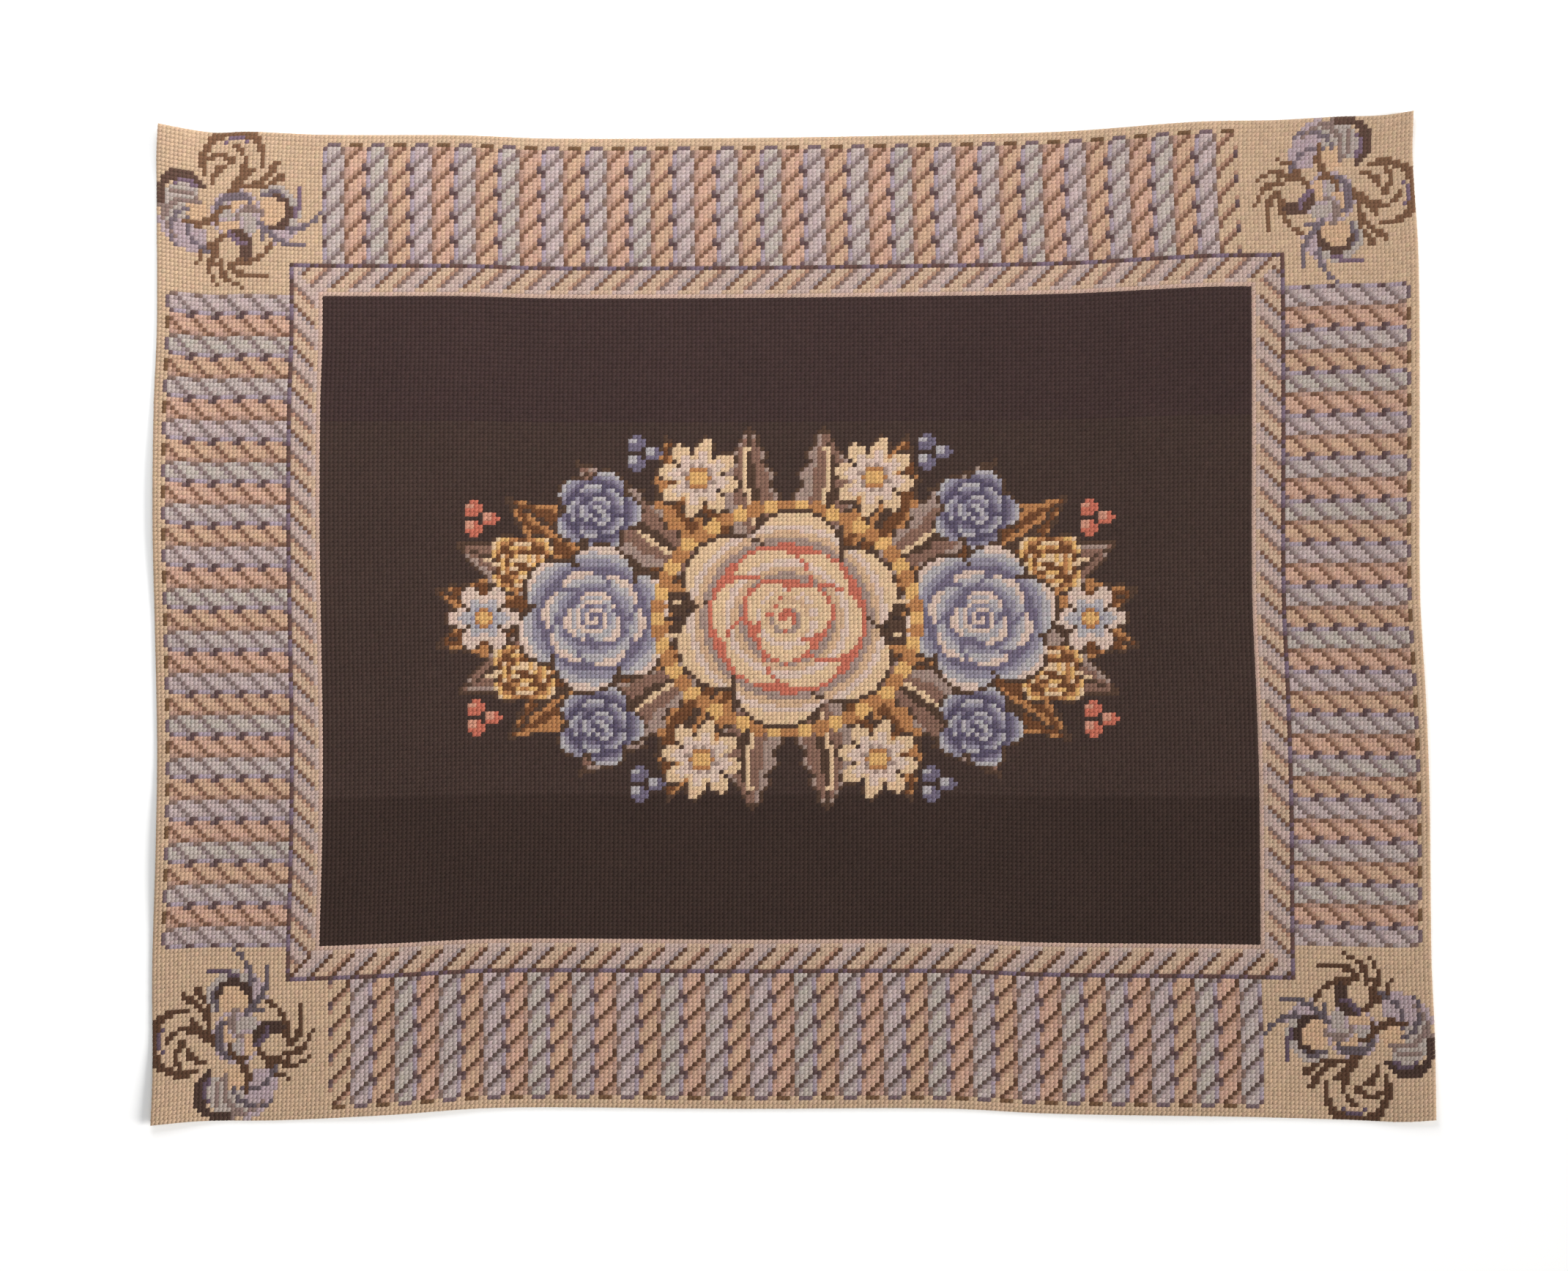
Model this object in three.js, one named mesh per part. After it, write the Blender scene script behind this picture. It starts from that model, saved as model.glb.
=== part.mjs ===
// Cross-stitch rug: one flat piece of wool-stitched canvas with its edges turned under.
// Millimetres, +Z up. The rug lies face up, its long side along X and its top border towards +Y.
// The origin is the middle of the underside.

import * as THREE from 'three';
import { mergeVertices } from 'three/addons/utils/BufferGeometryUtils.js';

// Sizes of the blocked canvas, before its edges wander.
const LENGTH = 1200;
const WIDTH = 924;
const THICKNESS = 4.2;

// The turned edge is rounded: how far the two faces stop short of it.
const TURN_RADIUS = 1.6;

// Cells of the two faces, along and across.
const CELLS_ALONG = 44;
const CELLS_ACROSS = 34;

// A grid line lies this near each edge, where the cloth turns down and the corners draw to a point.
const RIM_SHARES = [0, 0.004, 0.014, 0.032];

// How far each edge stands out from the plain rectangle, in millimetres, at a share of its length.
// Sides run from the bottom up, top and bottom from the left.
const LEFT_EDGE = [
  { along: 0, out: 2.8 },
  { along: 0.04, out: 1.2 },
  { along: 0.16, out: 1.6 },
  { along: 0.27, out: -1.8 },
  { along: 0.38, out: -3 },
  { along: 0.5, out: -0.8 },
  { along: 0.6, out: 0.9 },
  { along: 0.72, out: 0.1 },
  { along: 0.8, out: -2.8 },
  { along: 0.96, out: -2.6 },
  { along: 1, out: -4.6 },
];
const RIGHT_EDGE = [
  { along: 0, out: 11 },
  { along: 0.08, out: 10.2 },
  { along: 0.16, out: 6.9 },
  { along: 0.32, out: 5.1 },
  { along: 0.42, out: 1.5 },
  { along: 0.53, out: -4 },
  { along: 0.72, out: -4.3 },
  { along: 0.86, out: -5.6 },
  { along: 0.96, out: -11.3 },
  { along: 1, out: -10.4 },
];
const TOP_EDGE = [
  { along: 0, out: 10.4 },
  { along: 0.015, out: 6.8 },
  { along: 0.045, out: 2 },
  { along: 0.07, out: 3.2 },
  { along: 0.13, out: 0.2 },
  { along: 0.24, out: -0.3 },
  { along: 0.31, out: -3.4 },
  { along: 0.46, out: -2.9 },
  { along: 0.58, out: -0.8 },
  { along: 0.72, out: 3.2 },
  { along: 0.83, out: 12.4 },
  { along: 0.89, out: 14 },
  { along: 0.94, out: 17.2 },
  { along: 0.975, out: 18.2 },
  { along: 1, out: 22.4 },
];
const BOTTOM_EDGE = [
  { along: 0, out: 11.8 },
  { along: 0.04, out: 7.8 },
  { along: 0.1, out: 7.2 },
  { along: 0.185, out: 2.1 },
  { along: 0.27, out: -4.6 },
  { along: 0.46, out: -3.6 },
  { along: 0.62, out: -3.9 },
  { along: 0.7, out: 0.8 },
  { along: 0.84, out: 3.6 },
  { along: 0.93, out: 6.6 },
  { along: 0.975, out: 8.6 },
  { along: 1, out: 6.9 },
];

// Where the cloth stands off the floor: the middle of each low rise as shares of the rug's length and
// width, its height, and how far it reaches along and across. The rest of the underside lies flat.
const RISES = [
  { along: 0, across: 1, height: 7, reachAlong: 60, reachAcross: 60 },
  { along: 0, across: 0, height: 5, reachAlong: 75, reachAcross: 90 },
  { along: 1, across: 0, height: 3.5, reachAlong: 80, reachAcross: 70 },
  { along: 1, across: 1, height: 4, reachAlong: 90, reachAcross: 65 },
  { along: 0, across: 0.62, height: 3.5, reachAlong: 55, reachAcross: 120 },
  { along: 0, across: 0.27, height: 2.5, reachAlong: 45, reachAcross: 90 },
  { along: 0.2, across: 0, height: 2.5, reachAlong: 110, reachAcross: 40 },
  { along: 0.78, across: 0, height: 2, reachAlong: 120, reachAcross: 40 },
  { along: 1, across: 0.4, height: 2, reachAlong: 40, reachAcross: 120 },
  { along: 0.8, across: 1, height: 2.5, reachAlong: 120, reachAcross: 40 },
];

// The smooth curve through an edge's points: a cubic between each two, level with their neighbours.
function outAt(edge, share) {
  const last = edge.length - 1;
  let i = 0;
  while (i < last - 1 && share > edge[i + 1].along) {
    i += 1;
  }
  const slope = (k) => {
    const before = edge[Math.max(k - 1, 0)];
    const after = edge[Math.min(k + 1, last)];
    return (after.out - before.out) / (after.along - before.along);
  };
  const span = edge[i + 1].along - edge[i].along;
  const t = (share - edge[i].along) / span;
  const t2 = t * t;
  const t3 = t2 * t;
  return (2 * t3 - 3 * t2 + 1) * edge[i].out
    + (t3 - 2 * t2 + t) * span * slope(i)
    + (3 * t2 - 2 * t3) * edge[i + 1].out
    + (t3 - t2) * span * slope(i + 1);
}

// A place on the rug, from its shares along and across. What an edge does fades towards the far side.
function placeOf(along, across) {
  const x = LENGTH * (along - 0.5)
    + outAt(RIGHT_EDGE, across) * along ** 2
    - outAt(LEFT_EDGE, across) * (1 - along) ** 2;
  const y = WIDTH * (across - 0.5)
    + outAt(TOP_EDGE, along) * across ** 2
    - outAt(BOTTOM_EDGE, along) * (1 - across) ** 2;
  return new THREE.Vector2(x, y);
}

// How far the underside stands off the floor: each rise is a bump that is level at its rim.
function liftOf(along, across) {
  let lift = 0;
  for (const rise of RISES) {
    const dx = (along - rise.along) * LENGTH / rise.reachAlong;
    const dy = (across - rise.across) * WIDTH / rise.reachAcross;
    const fade = Math.max(0, 1 - dx * dx - dy * dy);
    lift += rise.height * fade * fade;
  }
  return lift;
}

// The shares at which grid lines run: close together by the two edges, even between them.
function gridShares(cells) {
  const inner = cells - 2 * (RIM_SHARES.length - 1);
  const first = RIM_SHARES[RIM_SHARES.length - 1];
  const shares = RIM_SHARES.slice(0, -1);
  for (let i = 0; i <= inner; i += 1) {
    shares.push(first + (1 - 2 * first) * i / inner);
  }
  for (const share of RIM_SHARES.slice(0, -1).reverse()) {
    shares.push(1 - share);
  }
  return shares;
}

// The middle of the outline's box, which the origin stands under.
function boxMiddle(alongShares, acrossShares) {
  const box = new THREE.Box2();
  for (const along of alongShares) {
    box.expandByPoint(placeOf(along, 0));
    box.expandByPoint(placeOf(along, 1));
  }
  for (const across of acrossShares) {
    box.expandByPoint(placeOf(0, across));
    box.expandByPoint(placeOf(1, across));
  }
  return box.getCenter(new THREE.Vector2());
}

// The closed cloth: a face above, a face below, and a rounded edge of two strips between them.
function rugGeometry() {
  const alongShares = gridShares(CELLS_ALONG);
  const acrossShares = gridShares(CELLS_ACROSS);
  const middle = boxMiddle(alongShares, acrossShares);
  const points = [];
  const triangles = [];

  const addPoint = (along, across, height, inset) => {
    const place = placeOf(along, across).sub(middle);
    const inX = Math.sign(along - 0.5) * inset;
    const inY = Math.sign(across - 0.5) * inset;
    const x = place.x - (along === 0 || along === 1 ? inX : 0);
    const y = place.y - (across === 0 || across === 1 ? inY : 0);
    points.push(x, y, liftOf(along, across) + height);
    return points.length / 3 - 1;
  };
  const addQuad = (a, b, c, d) => {
    triangles.push(a, b, c, a, c, d);
  };
  const addFace = (height) => acrossShares.map(
    (across) => alongShares.map((along) => addPoint(along, across, height, TURN_RADIUS)),
  );

  const above = addFace(THICKNESS);
  const below = addFace(0);
  for (let j = 0; j < CELLS_ACROSS; j += 1) {
    for (let i = 0; i < CELLS_ALONG; i += 1) {
      addQuad(above[j][i], above[j][i + 1], above[j + 1][i + 1], above[j + 1][i]);
      addQuad(below[j][i], below[j + 1][i], below[j + 1][i + 1], below[j][i + 1]);
    }
  }

  // The outline in order, counter-clockwise from the bottom left corner.
  const outline = [];
  for (let i = 0; i < CELLS_ALONG; i += 1) {
    outline.push([i, 0]);
  }
  for (let j = 0; j < CELLS_ACROSS; j += 1) {
    outline.push([CELLS_ALONG, j]);
  }
  for (let i = CELLS_ALONG; i > 0; i -= 1) {
    outline.push([i, CELLS_ACROSS]);
  }
  for (let j = CELLS_ACROSS; j > 0; j -= 1) {
    outline.push([0, j]);
  }
  const turn = outline.map(([i, j]) => addPoint(alongShares[i], acrossShares[j], THICKNESS / 2, 0));
  outline.forEach(([i, j], k) => {
    const next = (k + 1) % outline.length;
    const [nextI, nextJ] = outline[next];
    addQuad(below[j][i], below[nextJ][nextI], turn[next], turn[k]);
    addQuad(turn[k], turn[next], above[nextJ][nextI], above[j][i]);
  });

  const geometry = new THREE.BufferGeometry();
  geometry.setAttribute('position', new THREE.Float32BufferAttribute(points, 3));
  geometry.setIndex(triangles);
  const merged = mergeVertices(geometry);
  merged.computeVertexNormals();
  return merged;
}

// Worked wool over the whole face; the dark middle and the tan borders average to this brown.
function woolMaterial() {
  return new THREE.MeshStandardMaterial({
    color: 0x7d6656,
    roughness: 0.95,
    metalness: 0,
  });
}

const rug = new THREE.Mesh(rugGeometry(), woolMaterial());
rug.name = 'rug';

const part = new THREE.Group();
part.add(rug);

export default part;
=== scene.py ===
"""Cross-stitch rug: wool worked on canvas, with rope borders, curled leaves in the corners and a flower oval.

All lengths are in metres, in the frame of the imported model: the rug lies face up on the floor, its long side
along X and its top border towards +Y. The chart counts stitches: columns from the left, rows from the top.
"""
from __future__ import annotations

import logging
import math
from dataclasses import dataclass
from enum import Enum

import bpy
import numpy as np
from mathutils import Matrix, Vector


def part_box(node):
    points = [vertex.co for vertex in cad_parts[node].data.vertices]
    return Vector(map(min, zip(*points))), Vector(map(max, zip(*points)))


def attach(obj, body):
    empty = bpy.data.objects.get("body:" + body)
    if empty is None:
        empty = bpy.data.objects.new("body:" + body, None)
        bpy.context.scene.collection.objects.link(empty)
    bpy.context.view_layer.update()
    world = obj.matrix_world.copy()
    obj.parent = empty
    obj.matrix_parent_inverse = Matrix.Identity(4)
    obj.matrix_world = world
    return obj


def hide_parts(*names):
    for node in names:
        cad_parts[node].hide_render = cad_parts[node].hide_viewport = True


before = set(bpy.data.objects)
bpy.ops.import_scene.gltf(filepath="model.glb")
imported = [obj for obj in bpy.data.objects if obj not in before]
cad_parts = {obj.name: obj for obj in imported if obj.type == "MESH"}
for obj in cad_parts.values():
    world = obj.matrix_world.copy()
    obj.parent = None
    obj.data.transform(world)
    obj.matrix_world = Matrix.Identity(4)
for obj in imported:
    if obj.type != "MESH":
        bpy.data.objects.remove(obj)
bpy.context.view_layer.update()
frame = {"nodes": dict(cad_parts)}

MM = 0.001
PHOTO_SIZE = (2141, 1736)
PHOTO_MIDDLE_OF_RUG = (1083.4, 844.3)
METRES_PER_PIXEL = 0.00069164
SEED = 11

log = logging.getLogger("rug")

Array = np.ndarray
Socket = bpy.types.NodeSocket
Place = tuple[float, float]
Colour = tuple[float, float, float]


class Yarn(Enum):
    """Wool colours of the rug, as red, green and blue from 0 to 255."""

    GROUND_UPPER = (67, 48, 46)
    GROUND = (70, 52, 46)
    GROUND_LOWER = (61, 44, 38)
    TAN = (208, 176, 146)
    ROPE_TAN = (207, 166, 145)
    ROPE_PEACH = (212, 171, 147)
    ROPE_SAND = (206, 168, 141)
    ROPE_SAND_LIGHT = (211, 173, 144)
    ROPE_TAN_SHADE = (186, 149, 132)
    ROPE_TAN_LINE = (128, 91, 72)
    ROPE_TAN_DEEP = (98, 66, 48)
    ROPE_TAN_SOFT = (178, 137, 115)
    ROPE_TAN_CAP = (118, 86, 60)
    ROPE_COOL = (190, 172, 167)
    ROPE_COOL_LIGHT = (197, 180, 174)
    ROPE_MAUVE = (191, 170, 167)
    ROPE_MAUVE_LIGHT = (199, 178, 175)
    ROPE_SAGE = (188, 173, 165)
    ROPE_SAGE_LIGHT = (195, 181, 171)
    ROPE_LAVENDER = (174, 156, 166)
    ROPE_COOL_LINE = (134, 113, 110)
    ROPE_COOL_DEEP = (100, 80, 74)
    ROPE_COOL_SOFT = (166, 147, 145)
    ROPE_COOL_TOP = (134, 108, 98)
    ROPE_COOL_CAP = (122, 100, 104)
    ROPE_KNOT = (112, 88, 90)
    ROPE_KNOT_DARK = (94, 70, 70)
    EDGE_DARK = (90, 66, 60)
    EDGE_BROWN = (104, 74, 68)
    EDGE_PLUM = (110, 86, 98)
    EDGE_LAVENDER = (126, 106, 122)
    CORD_WARM = (207, 175, 149)
    CORD_COOL = (200, 174, 164)
    CORD_BROWN_LINE = (126, 90, 72)
    CORD_GREY_LINE = (136, 110, 102)
    CORD_PINK = (205, 172, 155)
    LEAF_BROWN = (126, 90, 66)
    LEAF_DARK = (98, 71, 60)
    LEAF_GREY = (184, 168, 159)
    LEAF_LAVENDER = (184, 162, 166)
    LEAF_PURPLE = (126, 102, 118)
    LEAF_SLATE = (122, 106, 113)
    LEAF_DEEP_BROWN = (92, 62, 44)
    LEAF_DEEP_DARK = (74, 52, 44)
    LEAF_DEEP_PURPLE = (100, 80, 94)
    LEAF_DEEP_SLATE = (102, 88, 94)
    LEAF_TAUPE = (144, 120, 112)
    LEAF_PEACH = (214, 176, 142)
    CREAM = (228, 193, 155)
    BLUSH = (222, 194, 178)
    ROSE = (212, 150, 126)
    CORAL = (202, 112, 90)
    GOLD = (228, 178, 112)
    OCHRE = (186, 128, 80)
    CHESTNUT = (116, 72, 42)
    UMBER = (86, 62, 48)
    TAUPE = (140, 104, 88)
    SMOKE = (168, 142, 130)
    ICE = (184, 176, 178)
    PERIWINKLE = (152, 144, 158)
    SLATE = (118, 107, 127)
    INDIGO = (92, 82, 104)
    CANVAS = (196, 176, 142)
    # painted shade: the canvas's face under the stitches, darkened to stand for the shadow in the holes
    # between them
    CANVAS_PAINTED_SHADE = (84, 64, 52)

    @property
    def number(self) -> int:
        """The yarn's place in the list of yarns."""
        return YARN_ORDER[self]


YARN_ORDER = {yarn: number for number, yarn in enumerate(Yarn)}
WOOL_DEPTH = 0.74


def linear(colour: Array) -> Array:
    """Turn display colours from 0 to 255 into the linear ones that shaders use."""
    share = np.asarray(colour, float) / 255
    return np.where(share <= 0.04045, share / 12.92, ((share + 0.055) / 1.055) ** 2.4)


def dyed_wool(numbers: Array) -> Array:
    """Give what numbered yarns reflect, which is less than the colours that they show in bright light."""
    return linear([yarn.value for yarn in Yarn])[numbers] * WOOL_DEPTH


@dataclass(frozen=True)
class RugOutline:
    """The cloth's true outline and where it stands off the floor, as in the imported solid."""

    length: float = 1200 * MM
    width: float = 924 * MM
    thickness: float = 4.2 * MM
    turn_radius: float = 1.6 * MM
    # share along the edge, and how far it stands out from the plain rectangle in millimetres
    left: tuple = ((0, 2.8), (0.04, 1.2), (0.16, 1.6), (0.27, -1.8), (0.38, -3), (0.5, -0.8), (0.6, 0.9),
                   (0.72, 0.1), (0.8, -2.8), (0.96, -2.6), (1, -4.6))
    right: tuple = ((0, 11), (0.08, 10.2), (0.16, 6.9), (0.32, 5.1), (0.42, 1.5), (0.53, -4), (0.72, -4.3),
                    (0.86, -5.6), (0.96, -11.3), (1, -10.4))
    top: tuple = ((0, 10.4), (0.015, 6.8), (0.045, 2), (0.07, 3.2), (0.13, 0.2), (0.24, -0.3), (0.31, -3.4),
                  (0.46, -2.9), (0.58, -0.8), (0.72, 3.2), (0.83, 12.4), (0.89, 14), (0.94, 17.2),
                  (0.975, 18.2), (1, 22.4))
    bottom: tuple = ((0, 11.8), (0.04, 7.8), (0.1, 7.2), (0.185, 2.1), (0.27, -4.6), (0.46, -3.6),
                     (0.62, -3.9), (0.7, 0.8), (0.84, 3.6), (0.93, 6.6), (0.975, 8.6), (1, 6.9))
    # share along, share across, height, reach along and reach across in millimetres
    rises: tuple = ((0, 1, 7, 60, 60), (0, 0, 5, 75, 90), (1, 0, 3.5, 80, 70), (1, 1, 4, 90, 65),
                    (0, 0.62, 3.5, 55, 120), (0, 0.27, 2.5, 45, 90), (0.2, 0, 2.5, 110, 40),
                    (0.78, 0, 2, 120, 40), (1, 0.4, 2, 40, 120), (0.8, 1, 2.5, 120, 40))

    @staticmethod
    def out_at(edge: tuple, share: Array) -> Array:
        """Follow the smooth curve through an edge's points.

        Args:
            edge: pairs of share along the edge and millimetres out.
            share: where along the edge, from 0 to 1.

        Returns:
            How far the edge stands out there, in metres.
        """
        along, out = np.array(edge, float).T
        last = len(along) - 1
        before = np.maximum(np.arange(last + 1) - 1, 0)
        after = np.minimum(np.arange(last + 1) + 1, last)
        slope = (out[after] - out[before]) / (along[after] - along[before])
        i = np.clip(np.searchsorted(along, share, side="right") - 1, 0, last - 1)
        span = along[i + 1] - along[i]
        t = (share - along[i]) / span
        t2 = t * t
        t3 = t2 * t
        curve = ((2 * t3 - 3 * t2 + 1) * out[i] + (t3 - 2 * t2 + t) * span * slope[i]
                 + (3 * t2 - 2 * t3) * out[i + 1] + (t3 - t2) * span * slope[i + 1])
        return curve * MM

    def place(self, along: Array, across: Array, centred: bool = True) -> tuple[Array, Array]:
        """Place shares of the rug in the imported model's frame, whose origin is the outline box's middle.

        Args:
            along: shares from the left edge.
            across: shares from the bottom edge.
            centred: False for places counted from the plain rectangle's middle.

        Returns:
            X and Y in metres.
        """
        x = (self.length * (along - 0.5) + self.out_at(self.right, across) * along ** 2
             - self.out_at(self.left, across) * (1 - along) ** 2)
        y = (self.width * (across - 0.5) + self.out_at(self.top, along) * across ** 2
             - self.out_at(self.bottom, along) * (1 - across) ** 2)
        if not centred:
            return x, y
        low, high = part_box("rug")
        edge = np.linspace(0, 1, 400)
        box_x = [self.place(end, edge, False)[0] for end in (0, 1)]
        box_y = [self.place(edge, end, False)[1] for end in (0, 1)]
        shift_x = (low[0] + high[0]) / 2 - (np.min(box_x) + np.max(box_x)) / 2
        shift_y = (low[1] + high[1]) / 2 - (np.min(box_y) + np.max(box_y)) / 2
        return x + shift_x, y + shift_y

    def lift(self, along: Array, across: Array) -> Array:
        """Give how far the underside stands off the floor.

        Args:
            along: shares from the left edge.
            across: shares from the bottom edge.

        Returns:
            Heights in metres.
        """
        height = np.zeros(np.broadcast(along, across).shape)
        for rise_along, rise_across, rise, reach_along, reach_across in self.rises:
            dx = (along - rise_along) * self.length / (reach_along * MM)
            dy = (across - rise_across) * self.width / (reach_across * MM)
            fade = np.maximum(0, 1 - dx * dx - dy * dy)
            height = height + rise * MM * fade * fade
        return height


@dataclass(frozen=True)
class StitchGrid:
    """How the chart's columns and rows are spread over the rug."""

    columns: int = 292
    rows: int = 235
    frame: int = 40
    left_share: float = 0.131
    right_share: float = 0.133
    top_share: float = 0.1648
    bottom_share: float = 0.1745

    def along(self, column: Array) -> Array:
        """Share of the rug's length at a column line."""
        stops = [0, self.frame, self.columns - self.frame, self.columns]
        return np.interp(column, stops, [0, self.left_share, 1 - self.right_share, 1])

    def across(self, row: Array) -> Array:
        """Share of the rug's width, from the bottom, at a row line."""
        stops = [0, self.frame, self.rows - self.frame, self.rows]
        return np.interp(row, stops, [1, 1 - self.top_share, self.bottom_share, 0])

    def stitches(self) -> tuple[Array, Array, Array, Array]:
        """Give each stitch's row, its column, and the stitches between it and the nearer edge, both ways."""
        rows, columns = np.mgrid[0:self.rows, 0:self.columns]
        return rows, columns, np.minimum(rows, rows[::-1]), np.minimum(columns, columns[:, ::-1])


@dataclass(frozen=True)
class Arc:
    """A tapered line of stitches that curls about a point, from one angle and radius to another."""

    yarn: Yarn
    centre: Place
    angles: tuple[float, float]
    radii: tuple[float, float]
    widths: tuple[float, float, float]
    steps: int = 160

    def points(self) -> tuple[Array, Array, Array]:
        """Follow the line.

        Returns:
            X, Y and the line's width at each point, in stitches.
        """
        share = np.linspace(0, 1, self.steps)
        angle = np.radians(np.interp(share, [0, 1], self.angles))
        radius = np.interp(share, [0, 1], self.radii)
        width = np.interp(share, [0, 0.5, 1], self.widths)
        return self.centre[0] + radius * np.cos(angle), self.centre[1] - radius * np.sin(angle), width


class Chart:
    """A field of stitches, painted yarn by yarn; x runs right and y runs down from its middle point."""

    # stitches: the dark rim round a flower or a leaf, and half the width of the thinnest line
    rim = 0.8
    least_reach = 0.51

    def __init__(self, rows: int, columns: int, yarn: Yarn, middle: Place = (0, 0)) -> None:
        """Start a plain field.

        Args:
            rows: rows of stitches.
            columns: stitches in a row.
            yarn: the yarn of the plain field.
            middle: the point, in stitches from the top left, that places are counted from.
        """
        self.cells = np.full((rows, columns), yarn.number)
        y, x = np.mgrid[0:rows, 0:columns] + 0.5
        self.x = x - middle[0]
        self.y = y - middle[1]

    def fill(self, where: Array, yarn: Yarn) -> None:
        """Work the stitches of a mask in one yarn."""
        self.cells[where] = yarn.number

    def line(self, arc: Arc) -> None:
        """Work a curled line, at least a stitch wide."""
        for x, y, width in zip(*arc.points()):
            self.fill(np.hypot(self.x - x, self.y - y) <= max(width / 2, self.least_reach), arc.yarn)

    def polar(self, place: Place) -> tuple[Array, Array]:
        """Give each stitch's distance from a place, and its angle from the right upwards, in radians."""
        right, up = self.x - place[0], place[1] - self.y
        return np.hypot(right, up), np.arctan2(up, right)

    def rose(self, place: Place, radius: float, ramp: tuple[Yarn, ...], petals: int, turn: float) -> None:
        """Work a full rose: three rings of overlapping petals about a wound heart.

        Args:
            place: its middle.
            radius: its reach in stitches.
            ramp: its yarns from the light rim of a petal to its dark foot.
            petals: petals in the outer ring.
            turn: how far it is turned, in radians.
        """
        distance, angle = self.polar(place)
        # share of the radius that a ring's petals stand out, their own share of it, and their number
        rings = ((0.62, 0.42, petals), (0.36, 0.34, petals), (0.17, 0.24, 3))
        petal_depth = 0.38
        # shares of the radius that the wound heart takes, and from one of its turns to the next
        heart = 0.26
        coil = 0.13
        edge = min(self.rim, 0.07 * radius)
        for ring, (reach, size, count) in enumerate(rings):
            depth = (reach + size - distance / radius) / petal_depth
            shade = np.clip((depth * len(ramp)).astype(int), 0, len(ramp) - 1)
            for number in range(count):
                way = turn + 2 * math.pi * (number + ring / 2) / count
                away, _ = self.polar((place[0] + radius * reach * math.cos(way),
                                      place[1] - radius * reach * math.sin(way)))
                self.fill(away <= radius * size + edge, ramp[-1] if ring else Yarn.UMBER)
                for tone, yarn in enumerate(ramp):
                    self.fill((away <= radius * size) & (shade == tone), yarn)
        winding = (distance / (coil * radius) + angle / (2 * math.pi)) % 1
        self.fill((distance <= heart * radius) & (winding < 0.45), ramp[0])

    def daisy(self, place: Place, radius: float, ramp: tuple[Yarn, ...], petals: int, turn: float) -> None:
        """Work an open flower of pointed petals about a gold eye.

        Args:
            place: its middle.
            radius: its reach in stitches.
            ramp: its yarns, from the petals' tips inwards.
            petals: how many petals.
            turn: how far it is turned, in radians.
        """
        notch = 0.42
        distance, angle = self.polar(place)
        lobes = np.abs(np.cos((angle + turn) * petals / 2))
        reach = radius * (notch + (1 - notch) * lobes ** 0.7)
        self.fill(distance <= reach + self.rim, Yarn.UMBER)
        for number, yarn in enumerate(ramp):
            self.fill(distance <= reach * (1 - 0.3 * number), yarn)
        self.fill(distance <= 0.28 * radius, Yarn.OCHRE)
        self.fill(distance <= 0.2 * radius, Yarn.GOLD)

    def leaf(self, base: Place, tip: Place, width: float, bend: float, yarns: tuple[Yarn, ...]) -> None:
        """Work a lobed leaf, dark by its rib and light at its rim, with one half a tone darker.

        Args:
            base: where it grows from.
            tip: its point.
            width: its full width in stitches.
            bend: how far its middle bows to the left of the way it grows.
            yarns: light, middle, dark and the rib.
        """
        light, middle, dark, rib = yarns
        # a lobe's share of the length, the rim's run past it, and how deep notches cut into the width
        lobe_share = 0.15
        overrun = 0.02
        lobe_depth = 0.3
        length = math.dist(base, tip)
        step_x = (tip[0] - base[0]) / length
        step_y = (tip[1] - base[1]) / length
        along = ((self.x - base[0]) * step_x + (self.y - base[1]) * step_y) / length
        swell = np.sin(math.pi * np.clip(along, 0, 1) ** 1.3)
        side = (self.x - base[0]) * step_y - (self.y - base[1]) * step_x - bend * swell
        lobe = (along * length - 0.35 * np.abs(side)) / (lobe_share * length) % 1
        half = width / 2 * swell * (1 - lobe_depth * lobe)
        near = (along > -overrun) & (along < 1 + overrun)
        self.fill(near & (np.abs(side) <= half + self.rim), Yarn.UMBER)
        inside = (along > 0) & (along < 1) & (np.abs(side) <= half)
        tone = np.abs(side) / np.maximum(half, 0.1) - 0.35 * (side < 0) - 0.3 * (lobe - 0.5)
        self.fill(inside, middle)
        self.fill(inside & (tone > 0.55), light)
        self.fill(inside & (tone < 0.05), dark)
        self.fill(inside & (np.abs(side) < 0.6) & (along < 0.9), rib)

    def berries(self, place: Place, yarn: Yarn, spot_yarn: Yarn) -> None:
        """Work three berries, each with a lighter spot.

        Args:
            place: the point between them.
            yarn: the berries' yarn.
            spot_yarn: their spots' yarn.
        """
        count = 3
        spread = 2.6
        radius = 2
        spot_shift = 0.6
        for number in range(count):
            angle = 2 * math.pi * number / count
            x = place[0] + spread * math.cos(angle)
            y = place[1] + spread * math.sin(angle)
            self.fill(self.polar((x, y))[0] <= radius, yarn)
            self.fill(self.polar((x - spot_shift, y - spot_shift))[0] <= 0.45 * radius, spot_yarn)


class RopeTone(Enum):
    """The two sorts of rope in the border."""

    TAN = "tan"
    COOL = "cool"


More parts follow.
